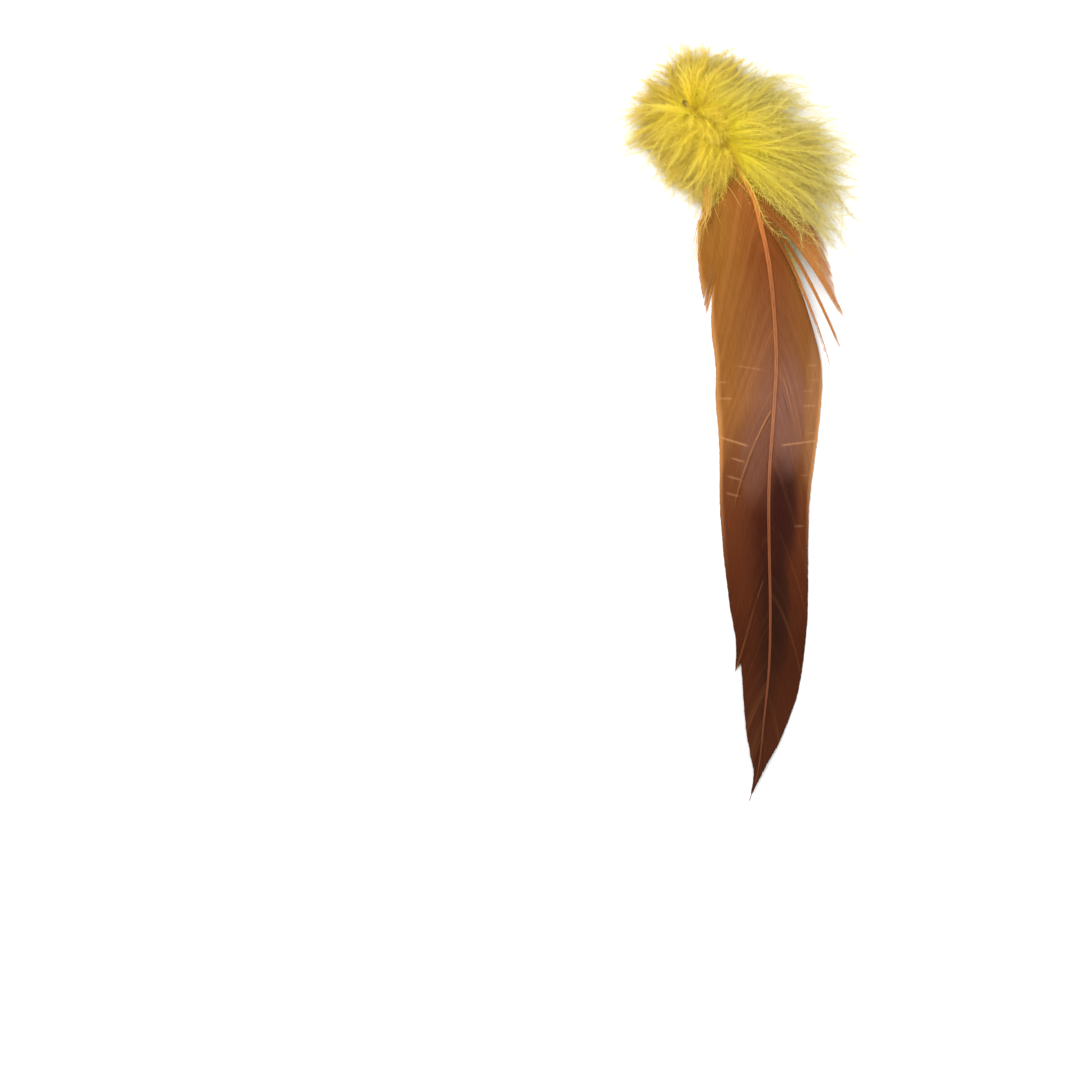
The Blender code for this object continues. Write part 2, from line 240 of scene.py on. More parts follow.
@dataclass
class FibreMesh:
    """Gathers fibres as arrays and joins them in one mesh. Lengths are in millimetres."""

    name: str
    points: list[np.ndarray] = field(default_factory=list)
    faces: list[np.ndarray] = field(default_factory=list)
    maps: list[np.ndarray] = field(default_factory=list)
    fibre_maps: list[np.ndarray] = field(default_factory=list)
    count: int = 0

    def _keep(self, points: np.ndarray, faces: np.ndarray, place: np.ndarray, fibre: np.ndarray) -> None:
        """Adds points, triangles and the points' two map positions."""
        self.points.append(points)
        self.faces.append(faces + self.count)
        self.maps.append(place)
        self.fibre_maps.append(fibre)
        self.count += len(points)

    def add_strands(
        self,
        paths: np.ndarray,
        widths: np.ndarray,
        heights: np.ndarray,
        place: np.ndarray,
        fibre: np.ndarray,
        tilt: float = 0.0,
    ) -> None:
        """Adds barbs, each a closed three-sided rod that ends in a point.

        Args:
            paths: the middle of each barb, as barbs x points x 3.
            widths: the width at each point, as barbs x points.
            heights: how far the ridge stands up at each point.
            place: the vane map's position at each point, as barbs x points x 2.
            fibre: the fibre map's position at each point: share of the length, and tone.
            tilt: how far each barb leans on its neighbour, in radians.
        """
        barbs, last = paths.shape[0], paths.shape[1] - 1
        ahead = unit(np.gradient(paths, axis=1))
        sideways = unit(np.cross(ahead, (0.0, 0.0, 1.0)))
        upward = np.cross(sideways, ahead)
        leaning = sideways * math.cos(tilt) + upward * math.sin(tilt)
        ridge = upward * math.cos(tilt) - sideways * math.sin(tilt)
        left = paths - leaning * widths[..., None] / 2
        right = paths + leaning * widths[..., None] / 2
        top = paths + ridge * heights[..., None]
        rings = np.stack([left, right, top], axis=2)[:, :last]
        size = last * 3 + 1
        points = np.concatenate([rings.reshape(barbs, -1, 3), paths[:, last:]], axis=1)
        ring = np.arange(last - 1)[:, None] * 3
        corner = np.arange(3)[None, :]
        after = (corner + 1) % 3
        first = np.stack([ring + corner, ring + 3 + corner, ring + 3 + after], axis=-1).reshape(-1, 3)
        second = np.stack([ring + corner, ring + 3 + after, ring + after], axis=-1).reshape(-1, 3)
        end = (last - 1) * 3
        tip = [[end, last * 3, end + 1], [end + 1, last * 3, end + 2], [end + 2, last * 3, end]]
        pattern = np.concatenate([first, second, np.array([[0, 1, 2]]), np.array(tip)])
        faces = (pattern[None] + np.arange(barbs)[:, None, None] * size).reshape(-1, 3)
        places, fibres = (
            np.concatenate([np.repeat(each[:, :last], 3, axis=1), each[:, last:]], axis=1).reshape(-1, 2)
            for each in (place, fibre)
        )
        self._keep(points.reshape(-1, 3), faces, places, fibres)

    def add_spikes(
        self, roots: np.ndarray, ends: np.ndarray, width: np.ndarray, place: np.ndarray, fibre: np.ndarray
    ) -> None:
        """Adds barbules, each a closed three-sided spike.

        Args:
            roots: where each barbule grows, as barbules x 3.
            ends: where each one ends.
            width: each one's width at its root.
            place: the vane map's position of each one.
            fibre: the fibre map's position of each one.
        """
        ahead = unit(ends - roots)
        steep = np.abs(ahead[:, 2:]) > 0.9
        helper = np.where(steep, np.array([[1.0, 0.0, 0.0]]), np.array([[0.0, 0.0, 1.0]]))
        sideways = unit(np.cross(ahead, helper))
        upward = np.cross(sideways, ahead)
        corners = []
        for turn in (math.pi * 7 / 6, math.pi * 11 / 6, math.pi / 2):
            outward = sideways * math.cos(turn) + upward * math.sin(turn)
            corners.append(roots + outward * width[:, None] / 2)
        points = np.stack([*corners, ends], axis=1)
        pattern = np.array([[0, 1, 2], [0, 3, 1], [1, 3, 2], [2, 3, 0]])
        faces = (pattern[None] + np.arange(len(roots))[:, None, None] * 4).reshape(-1, 3)
        self._keep(points.reshape(-1, 3), faces, np.repeat(place, 4, axis=0), np.repeat(fibre, 4, axis=0))

    def build(self, material: bpy.types.Material) -> bpy.types.Object:
        """Joins all the fibres in one object, with its two maps.

        Args:
            material: the finish of the whole mesh.

        Returns:
            The new object.
        """
        points = np.concatenate(self.points) * MM
        faces = np.concatenate(self.faces).astype(np.int32)
        mesh = bpy.data.meshes.new(self.name)
        mesh.vertices.add(len(points))
        mesh.vertices.foreach_set("co", points.astype(np.float32).ravel())
        mesh.loops.add(faces.size)
        mesh.loops.foreach_set("vertex_index", faces.ravel())
        mesh.polygons.add(len(faces))
        mesh.polygons.foreach_set("loop_start", np.arange(0, faces.size, 3, dtype=np.int32))
        mesh.update(calc_edges=True)
        for name, values in (("vane_map", self.maps), ("fibre_map", self.fibre_maps)):
            layer = mesh.uv_layers.new(name=name)
            corners = np.concatenate(values)[faces.ravel()]
            layer.data.foreach_set("uv", corners.astype(np.float32).ravel())
        mesh.shade_flat()
        mesh.materials.append(material)
        piece = bpy.data.objects.new(self.name, mesh)
        bpy.context.scene.collection.objects.link(piece)
        return piece


@dataclass
class ShaderGraph:
    """Short ways to add nodes to a tree."""

    tree: bpy.types.NodeTree

    def node(self, kind: str, **values: object) -> bpy.types.Node:
        """Adds a node and sets its properties."""
        made = self.tree.nodes.new(kind)
        for name, value in values.items():
            setattr(made, name, value)
        return made

    def link(self, source: bpy.types.NodeSocket, target: bpy.types.NodeSocket) -> None:
        """Joins an output to an input."""
        self.tree.links.new(source, target)

    def feed(self, socket: bpy.types.NodeSocket, value: object) -> None:
        """Links an output to a socket, or sets a plain value on it."""
        if isinstance(value, bpy.types.NodeSocket):
            self.link(value, socket)
        else:
            socket.default_value = value

    def math(self, operation: str, first: object, second: object = 0.0, clamp: bool = False) -> object:
        """A Math node's output for two values or sockets."""
        made = self.node("ShaderNodeMath", operation=operation, use_clamp=clamp)
        self.feed(made.inputs[0], first)
        self.feed(made.inputs[1], second)
        return made.outputs[0]

    def step(self, value: object, low: float, high: float) -> object:
        """A smooth step of a value from 0 at low to 1 at high, or back where high is the lower."""
        made = self.node("ShaderNodeMapRange", interpolation_type="SMOOTHSTEP", clamp=True)
        self.feed(made.inputs["Value"], value)
        ends = (low, high, 0.0, 1.0) if low < high else (high, low, 1.0, 0.0)
        for name, end in zip(("From Min", "From Max", "To Min", "To Max"), ends):
            made.inputs[name].default_value = end
        return made.outputs["Result"]

    def mix(self, share: object, first: object, second: object, blend: str = "MIX") -> object:
        """A colour mix of two colours or sockets."""
        made = self.node("ShaderNodeMix", data_type="RGBA", blend_type=blend)
        self.feed(made.inputs["Factor"], share)
        self.feed(made.inputs[6], first)
        self.feed(made.inputs[7], second)
        return made.outputs[2]

    def ramp(self, value: object, stops: tuple[tuple[float, tuple], ...]) -> object:
        """A colour ramp through these stops."""
        made = self.node("ShaderNodeValToRGB")
        elements = made.color_ramp.elements
        while len(elements) < len(stops):
            elements.new(1.0)
        for element, (place, shade) in zip(elements, stops):
            element.position = place
            element.color = shade
        self.feed(made.inputs["Fac"], value)
        return made.outputs["Color"]

    def ramp_along(self, share: object, stops: tuple[tuple[float, tuple], ...]) -> object:
        """A colour ramp whose stops are places along the shaft, in millimetres."""
        return self.ramp(share, tuple((place / MAP_LENGTH, stop) for place, stop in stops))

    def tint(self, mask: object, strength: object, shade: object, other: object) -> object:
        """A colour mixed with another, by a mask at some strength."""
        return self.mix(self.math("MULTIPLY", mask, strength), shade, other)

    def vary(self, socket: bpy.types.NodeSocket, mask: object, amount: float, base: float) -> None:
        """Feeds a socket a base value plus some amount of a mask."""
        self.link(self.math("ADD", self.math("MULTIPLY", mask, amount), base), socket)

    def relief(self, socket: bpy.types.NodeSocket, height: object, strength: float, distance: float) -> None:
        """Feeds a normal socket from a height, with the relief's distance in metres."""
        bump = self.node("ShaderNodeBump")
        bump.inputs["Strength"].default_value = strength
        bump.inputs["Distance"].default_value = distance
        self.link(height, bump.inputs["Height"])
        self.link(bump.outputs["Normal"], socket)

    def map_position(self, name: str) -> tuple[object, object]:
        """The two numbers of a map of the mesh."""
        source = self.node("ShaderNodeUVMap", uv_map=name)
        parts = self.node("ShaderNodeSeparateXYZ")
        self.link(source.outputs["UV"], parts.inputs[0])
        return parts.outputs[0], parts.outputs[1]

    def place(self, group: bpy.types.NodeTree, **values: object) -> bpy.types.Node:
        """Adds a node group, with its inputs set by name with _ for a space."""
        made = self.node("ShaderNodeGroup", node_tree=group)
        for name, value in values.items():
            self.feed(made.inputs[name.replace("_", " ")], value)
        return made


def new_material(name: str) -> tuple[bpy.types.Material, ShaderGraph, bpy.types.Node]:
    """Starts a material.

    Args:
        name: the material's name.

    Returns:
        The material, the graph of its nodes and its shader.
    """
    material = bpy.data.materials.new(name)
    material.use_nodes = True
    return material, ShaderGraph(material.node_tree), material.node_tree.nodes["Principled BSDF"]


def new_group(
    name: str, inputs: dict[str, float], outputs: tuple[str, ...]
) -> tuple[ShaderGraph, dict, dict]:
    """Starts a shader node group of plain numbers.

    Args:
        name: the group's name.
        inputs: its inputs and their defaults.
        outputs: its outputs.

    Returns:
        The graph to fill, its inputs by name, and its outputs by name.
    """
    tree = bpy.data.node_groups.new(name, "ShaderNodeTree")
    for label, value in inputs.items():
        socket = tree.interface.new_socket(label, in_out="INPUT", socket_type="NodeSocketFloat")
        socket.default_value = value
    for label in outputs:
        tree.interface.new_socket(label, in_out="OUTPUT", socket_type="NodeSocketFloat")
    graph = ShaderGraph(tree)
    start = graph.node("NodeGroupInput")
    end = graph.node("NodeGroupOutput")
    taken = {label: start.outputs[label] for label in inputs}
    given = {label: end.inputs[label] for label in outputs}
    return graph, taken, given


def make_grain_group() -> bpy.types.NodeTree:
    """The streaks that run along horn and barbs, and the fine relief that goes with them."""
    graph, inputs, outputs = new_group(
        "fibre_grain",
        {"Along": 0.0, "Across": 0.0, "Streaks": 60.0, "Stretch": 0.08},
        ("Streak", "Relief"),
    )
    where = graph.node("ShaderNodeCombineXYZ")
    stretched = graph.math("MULTIPLY", inputs["Along"], inputs["Stretch"])
    graph.link(graph.math("MULTIPLY", stretched, inputs["Streaks"]), where.inputs[0])
    graph.link(graph.math("MULTIPLY", inputs["Across"], inputs["Streaks"]), where.inputs[1])
    broad = graph.node("ShaderNodeTexNoise", noise_dimensions="2D")
    graph.link(where.outputs[0], broad.inputs["Vector"])
    broad.inputs["Scale"].default_value = 1.0
    broad.inputs["Detail"].default_value = 3.0
    fine = graph.node("ShaderNodeTexNoise", noise_dimensions="2D")
    graph.link(where.outputs[0], fine.inputs["Vector"])
    fine.inputs["Scale"].default_value = 4.0
    fine.inputs["Detail"].default_value = 2.0
    graph.link(graph.step(broad.outputs["Fac"], 0.30, 0.70), outputs["Streak"])
    graph.link(fine.outputs["Fac"], outputs["Relief"])
    return graph.tree


def make_bar_group() -> bpy.types.NodeTree:
    """A fault bar: a thin line straight across the barbs, where the growing feather was once starved."""
    graph, inputs, outputs = new_group(
        "fault_bar",
        {"Along": 0.0, "Across": 0.0, "Place": 0.0, "Slant": 0.0, "From": 0.0, "To": 0.0, "Width": 0.3},
        ("Bar",),
    )
    leant = graph.math("MULTIPLY", inputs["Across"], inputs["Slant"])
    offset = graph.math("SUBTRACT", graph.math("SUBTRACT", inputs["Along"], inputs["Place"]), leant)
    near = graph.math("DIVIDE", graph.math("ABSOLUTE", offset), inputs["Width"])
    line = graph.step(near, 1.0, 0.0)
    inner = graph.math("SUBTRACT", inputs["Across"], inputs["From"])
    outer = graph.math("SUBTRACT", inputs["To"], inputs["Across"])
    within = graph.step(graph.math("MINIMUM", inner, outer), -0.3, 0.9)
    graph.link(graph.math("MULTIPLY", line, within), outputs["Bar"])
    return graph.tree


@dataclass(frozen=True)
class FaultBar:
    """Where a fault bar crosses the vane, in millimetres along and across, and how plain it is."""

    along: float
    inner: float
    outer: float
    slant: float
    strength: float


@dataclass(frozen=True)
class Patch:
    """A soft oval of another colour on the vane: its middle, half sizes, colour and strength. Some stand for
    painted shadow and painted sheen rather than the dye.
    """

    along: float
    across: float
    half_along: float
    half_across: float
    shade: tuple
    strength: float


@dataclass(frozen=True)
class VaneFinish:
    """Rust barbs: ochre towards the quill, maroon from the middle on, and paler towards the margins. A shadow
    beside the shaft, a pinkish sheen and light and shadow lines at the partings are painted in.
    """

    middle: tuple = (
        (8.0, colour(182, 126, 43)),
        (22.0, colour(149, 90, 34)),
        (38.0, colour(121, 65, 26)),
        (54.0, colour(122, 73, 42)),
        (68.0, colour(127, 82, 61)),
        (85.0, colour(96, 53, 36)),
        (93.0, colour(64, 26, 13)),
        (104.0, colour(54, 22, 11)),
        (121.0, colour(49, 22, 9)),
        (136.0, colour(63, 30, 15)),
        (150.0, colour(71, 36, 19)),
    )
    margin: tuple = (
        (16.0, colour(168, 117, 46)),
        (38.0, colour(144, 91, 33)),
        (54.0, colour(136, 83, 38)),
        (70.0, colour(138, 87, 45)),
        (82.0, colour(112, 64, 34)),
        (93.0, colour(95, 47, 23)),
        (104.0, colour(84, 39, 17)),
        (121.0, colour(66, 28, 10)),
        (136.0, colour(70, 32, 15)),
        (150.0, colour(70, 35, 19)),
    )
    pale_edge: tuple = colour(206, 144, 84)
    bar_shade: tuple = colour(204, 150, 104)
    # The dark and light tones also colour the partings' painted shadow and light lines, through the tone.
    dark_tone_and_painted_shadow: tuple = colour(58, 24, 12)
    light_tone_and_painted_light: tuple = colour(212, 142, 82)
    dark_strength: float = 0.70
    light_strength: float = 0.26
    light_fades: tuple[float, float] = (98.0, 72.0)
    edge_from: tuple[float, float] = (0.93, 0.985)
    edge_strength: float = 0.62
    edge_fades: tuple[float, float] = (108.0, 74.0)
    bar_width: float = 0.38
    dulling: float = 0.22
    roughness: float = 0.5
    bars: tuple = (
        FaultBar(62.6, -8.0, -2.6, 0.18, 0.16),
        FaultBar(63.8, -12.0, -9.6, -0.10, 0.18),
        FaultBar(65.6, -12.2, -10.2, 0.06, 0.16),
        FaultBar(71.6, -12.0, -10.4, 0.04, 0.14),
        FaultBar(68.4, -11.9, -8.4, 0.0, 0.30),
        FaultBar(79.6, -11.0, -4.6, 0.27, 0.42),
        FaultBar(83.0, -8.0, -5.0, 0.26, 0.30),
        FaultBar(86.8, -8.6, -5.6, 0.26, 0.26),
        FaultBar(90.2, -8.8, -5.8, 0.26, 0.22),
        FaultBar(61.6, 6.6, 8.9, -0.10, 0.22),
        FaultBar(64.4, 7.4, 9.8, -0.10, 0.16),
        FaultBar(66.8, 5.8, 8.4, -0.12, 0.18),
        FaultBar(69.9, 6.0, 9.2, -0.12, 0.30),
        FaultBar(75.4, 7.2, 9.6, -0.10, 0.22),
        FaultBar(78.2, 2.0, 10.0, -0.22, 0.40),
        FaultBar(84.6, 6.6, 8.8, -0.10, 0.15),
        FaultBar(95.0, 5.4, 7.6, 0.0, 0.16),
    )
    patches: tuple = (
        # Painted shadow: darker on the right beside the shaft, where the vane falls away from it.
        Patch(90.5, 3.2, 15.0, 4.0, colour(50, 20, 14), 0.90),
        # Painted sheen: pinkish ovals on both sides of the shaft in the middle of the vane.
        Patch(72.0, 3.6, 15.0, 4.6, colour(130, 90, 78), 0.50),
        Patch(80.0, -3.4, 12.0, 3.6, colour(116, 76, 59), 0.50),
        Patch(38.0, 13.0, 17.0, 4.6, colour(180, 120, 54), 0.80),
        # Painted shadow: darker beside the shaft further towards the tip.
        Patch(112.0, 2.0, 16.0, 2.6, colour(41, 20, 12), 0.60),
        Patch(60.0, -11.0, 30.0, 4.5, colour(143, 90, 36), 0.55),
        Patch(69.0, 9.2, 22.0, 3.2, colour(166, 114, 74), 0.60),
    )

    def build(self, grain: bpy.types.NodeTree, bar: bpy.types.NodeTree) -> bpy.types.Material:
        """Makes the material.

        Args:
            grain: the group of streaks along a fibre.
            bar: the group of one fault bar.

        Returns:
            The material of all the vane's barbs.
        """
        material, graph, shader = new_material("dyed_vane")
        along_share, across_share = graph.map_position("vane_map")
        share, tone = graph.map_position("fibre_map")
        along = graph.math("MULTIPLY", along_share, MAP_LENGTH)
        across = graph.math("MULTIPLY", graph.math("SUBTRACT", across_share, 0.5), MAP_WIDTH)
        middle = graph.ramp_along(along_share, self.middle)
        margin = graph.ramp_along(along_share, self.margin)
        shade = graph.mix(graph.step(share, 0.25, 0.85), middle, margin)
        for patch in self.patches:
            out = graph.math("DIVIDE", graph.math("SUBTRACT", along, patch.along), patch.half_along)
            side = graph.math("DIVIDE", graph.math("SUBTRACT", across, patch.across), patch.half_across)
            far = graph.math("ADD", graph.math("MULTIPLY", out, out), graph.math("MULTIPLY", side, side))
            shade = graph.tint(graph.step(far, 1.0, 0.1), patch.strength, shade, patch.shade)
        # Darker and lighter barbs by tone; the tone also carries the partings' painted shadow and light
        # lines.
        shade = graph.tint(graph.step(tone, 0.5, 0.05), self.dark_strength, shade, self.dark_tone_and_painted_shadow)
        towards_quill = graph.math("MULTIPLY", graph.step(along, *self.light_fades), self.light_strength)
        kept = graph.math("ADD", towards_quill, self.light_strength)
        shade = graph.tint(graph.step(tone, 0.5, 0.98), kept, shade, self.light_tone_and_painted_light)
        pale = graph.mix(graph.step(along, *self.edge_fades), shade, self.pale_edge)
        shade = graph.tint(graph.step(share, *self.edge_from), self.edge_strength, shade, pale)
        for place in self.bars:
            line = graph.place(bar, Along=along, Across=across, Place=place.along, Slant=place.slant,
                               From=place.inner, To=place.outer, Width=self.bar_width)
            shade = graph.tint(line.outputs["Bar"], place.strength, shade, self.bar_shade)
        streaks = graph.place(grain, Along=along, Across=across, Streaks=3.0, Stretch=0.10)
        duller = graph.mix(1.0, shade, colour(205, 196, 184), "MULTIPLY")
        shade = graph.tint(streaks.outputs["Streak"], self.dulling, shade, duller)
        graph.link(shade, shader.inputs["Base Color"])
        graph.vary(shader.inputs["Roughness"], streaks.outputs["Streak"], 0.16, self.roughness)
        graph.relief(shader.inputs["Normal"], streaks.outputs["Relief"], 0.25, 0.00005)
        shader.inputs["Specular IOR Level"].default_value = 0.04
        return material


@dataclass(frozen=True)
class HornFinish:
    """The shaft: satin horn, orange near the quill, browner towards the tip, with the inside of the hollow
    painted near black as shade.
    """

    stops: tuple = (
        (0.0, colour(66, 46, 18)),
        (3.0, colour(222, 186, 84)),
        (12.0, colour(226, 174, 78)),
        (22.0, colour(222, 148, 62)),
        (34.0, colour(190, 112, 50)),
        (45.0, colour(161, 95, 44)),
        (72.0, colour(164, 106, 72)),
        (95.0, colour(132, 69, 28)),
        (120.0, colour(126, 62, 22)),
        (142.0, colour(108, 52, 18)),
        (153.0, colour(104, 50, 24)),
        # Painted shade: the inside of the hollow quill, near black.
        (156.0, colour(14, 9, 4)),
    )
    roughness: float = 0.34

    def build(self, grain: bpy.types.NodeTree) -> bpy.types.Material:
        """Makes the material.

        Args:
            grain: the group of streaks along a fibre.

        Returns:
            The material of the quill and shaft.
        """
        material, graph, shader = new_material("shaft_horn")
        along_share, turn = graph.map_position("vane_map")
        shade = graph.ramp_along(along_share, self.stops)
        along = graph.math("MULTIPLY", along_share, MAP_LENGTH)
        streaks = graph.place(grain, Along=along, Across=turn, Streaks=14.0, Stretch=0.03)
        darker = graph.mix(1.0, shade, colour(214, 186, 160), "MULTIPLY")
        shade = graph.tint(streaks.outputs["Streak"], 0.6, shade, darker)
        graph.link(shade, shader.inputs["Base Color"])
        graph.vary(shader.inputs["Roughness"], streaks.outputs["Relief"], 0.14, self.roughness)
        graph.relief(shader.inputs["Normal"], streaks.outputs["Relief"], 0.2, 0.00004)
        shader.inputs["Specular IOR Level"].default_value = 0.35
        return material


@dataclass(frozen=True)
class DownFinish:
    """Yellow down: strong near the shaft and paler at its ends."""

    name: str = "dyed_down"
    stops: tuple = (
        (0.0, colour(255, 228, 34)),
        (0.25, colour(255, 243, 52)),
        (0.50, colour(252, 238, 96)),
        (0.80, colour(236, 224, 124)),
        (1.0, colour(228, 219, 146)),
    )
    shadow: tuple = colour(255, 230, 56)
    olive: tuple = colour(206, 186, 92)
    roughness: float = 0.62

    def build(self, grain: bpy.types.NodeTree) -> bpy.types.Material:
        """Makes the material.

        Args:
            grain: the group of streaks along a fibre.

        Returns:
            The material of down of this colour.
        """
        material, graph, shader = new_material(self.name)
        share, tone = graph.map_position("fibre_map")
        along, across = graph.map_position("vane_map")
        shade = graph.ramp(share, self.stops)
        shade = graph.tint(graph.step(tone, 0.45, 0.0), 0.65, shade, self.shadow)
        shade = graph.tint(graph.step(tone, 0.6, 1.0), 0.50, shade, self.olive)
        streaks = graph.place(grain, Along=along, Across=across, Streaks=90.0, Stretch=1.0)
        duller = graph.mix(1.0, shade, colour(244, 238, 226), "MULTIPLY")
        shade = graph.mix(streaks.outputs["Streak"], shade, duller)
        graph.link(shade, shader.inputs["Base Color"])
        graph.vary(shader.inputs["Roughness"], streaks.outputs["Relief"], 0.2, self.roughness)
        shader.inputs["Specular IOR Level"].default_value = 0.1
        shader.inputs["Sheen Weight"].default_value = 0.20
        shader.inputs["Sheen Roughness"].default_value = 0.5
        return material


@dataclass
class Shaft:
    """The quill and shaft, drawn out ring by ring from a circle and then laid along the line."""

    line: DrawnLine
    radii: tuple[tuple[float, float], ...] = (
        (0.0, 0.74), (2.2, 0.76), (9.0, 0.72), (20.0, 0.58), (50.0, 0.44),
        (80.0, 0.36), (110.0, 0.29), (135.0, 0.21), (153.2, 0.09),
    )
    sides: int = 16
    rings: int = 90
    wall: float = 0.14
    hollow_depth: float = 6.0
    hollow_shade_place: float = 158.0
    slant: float = 1.7
    groove_from: float = 12.0
    groove_depth: float = 0.45

    def radius(self, along: float) -> float:
        """The shaft's radius at a distance from the quill's end."""
        where, size = zip(*self.radii)
        return float(np.interp(along, where, size))

    def _draw_out(self) -> bpy.types.Object:
        """Draws the straight shaft out along +X from a ring, one ring at a time."""
        deselect()
        start = self.radius(0.0)
        bpy.ops.mesh.primitive_circle_add(
            vertices=self.sides, radius=start * MM, fill_type="NGON", rotation=(0, math.pi / 2, 0)
        )
        shaft = bpy.context.object
        shaft.name = "quill_and_shaft"
        bpy.ops.object.transform_apply(location=True, rotation=True, scale=True)
        bpy.ops.object.mode_set(mode="EDIT")
        bpy.ops.mesh.select_all(action="SELECT")
        before, size = 0.0, start
        for along in np.linspace(0.0, self.line.length, self.rings)[1:]:
            bpy.ops.mesh.extrude_region_move(TRANSFORM_OT_translate={"value": ((along - before) * MM, 0, 0)})
            grown = self.radius(along) / size
            bpy.ops.transform.resize(value=(1, grown, grown), center_override=(along * MM, 0, 0))
            before, size = along, self.radius(along)
        bpy.ops.mesh.select_mode(type="FACE")
        bpy.ops.mesh.select_all(action="DESELECT")
        bpy.ops.object.mode_set(mode="OBJECT")
        return shaft

    def _open_quill(self, shaft: bpy.types.Object) -> None:
        """Hollows the quill's end with an inset that is pushed in, and slants its cut to face up."""
        for face in shaft.data.polygons:
            face.select = face.center.x < AT_END and len(face.vertices) == self.sides
        bpy.ops.object.mode_set(mode="EDIT")
        bpy.ops.mesh.inset(thickness=self.wall * MM, depth=0)
        depth = self.hollow_depth * MM
        bpy.ops.mesh.extrude_region_move(TRANSFORM_OT_translate={"value": (depth, 0, 0)})
        bpy.ops.object.mode_set(mode="OBJECT")
        for vert in shaft.data.vertices:
            if vert.co.x < AT_END:
                vert.co.x += self.slant * (vert.co.z + self.radius(0.0) * MM) / (2 * self.radius(0.0))

    def _cut_groove(self, shaft: bpy.types.Object) -> None:
        """Presses the long groove into the underside, from where the quill ends."""
        half_width = 0.45
        for vert in shaft.data.vertices:
            along = vert.co.x / MM
            size = self.radius(along) * MM
            if along < self.groove_from or vert.co.z > 0:
                continue
            deep = max(0.0, 1 - abs(vert.co.y) / (half_width * size))
            start = min(1.0, (along - self.groove_from) / self.groove_from)
            vert.co.z += self.groove_depth * size * deep * start

    def _map_and_lay(self, shaft: bpy.types.Object) -> None:
        """Writes the shaft's map from its straight shape, then lays it along the line."""
        mesh = shaft.data
        straight = np.array([vert.co for vert in mesh.vertices]) / MM
        turn = (np.arctan2(straight[:, 2], straight[:, 1]) / math.tau) % 1.0
        for layer in list(mesh.uv_layers):
            mesh.uv_layers.remove(layer)
        layer = mesh.uv_layers.new(name="vane_map")
        corners = np.array([loop.vertex_index for loop in mesh.loops])
        place = np.stack([straight[:, 0] / MAP_LENGTH, turn], axis=1)[corners]
        # The inside of the hollow takes the near-black stop: painted shade.
        near_axis = np.hypot(straight[:, 1], straight[:, 2]) < self.radius(0.0) - self.wall / 2
        inner = near_axis & (straight[:, 0] < self.hollow_depth + 0.1)
        for face in mesh.polygons:
            if inner[list(face.vertices)].all():
                place[list(face.loop_indices), 0] = self.hollow_shade_place / MAP_LENGTH
        layer.data.foreach_set("uv", place.astype(np.float32).ravel())
        middle = self.line.point(straight[:, 0])
        ahead = self.line.heading(straight[:, 0])
        across = self.line.across(straight[:, 0])
        upward = np.cross(across, ahead)
        laid = middle + across * straight[:, 1:2] + upward * straight[:, 2:3]
        mesh.vertices.foreach_set("co", (laid * MM).astype(np.float32).ravel())
        mesh.update()

    def build(self, material: bpy.types.Material) -> bpy.types.Object:
        """Makes the whole shaft.

        Args:
            material: the horn finish.

        Returns:
            The finished piece.
        """
        shaft = self._draw_out()
        self._open_quill(shaft)
        self._cut_groove(shaft)
        self._map_and_lay(shaft)
        shaft.select_set(True)
        bpy.ops.object.mode_set(mode="EDIT")
        bpy.ops.mesh.select_all(action="SELECT")
        bpy.ops.mesh.normals_make_consistent(inside=False)
        bpy.ops.object.mode_set(mode="OBJECT")
        bpy.ops.object.shade_smooth_by_angle(angle=math.radians(50))
        shaft.data.materials.clear()
        shaft.data.materials.append(material)
        return shaft


@dataclass(frozen=True)
class Parting:
    """A place where neighbouring barbs have come apart, or lie over each other. Its pale sets how strongly a
    painted light line and a painted shadow line show along it.
    """

    root: float
    gap: float = 0.0
    lift: float = 0.0
    spread: float = 2.0
    opens_at: float = 0.3
    ends_at: float = 2.0
    # strength of the painted light line on the lifted edge and the painted shadow line beside it
    pale: float = 0.0


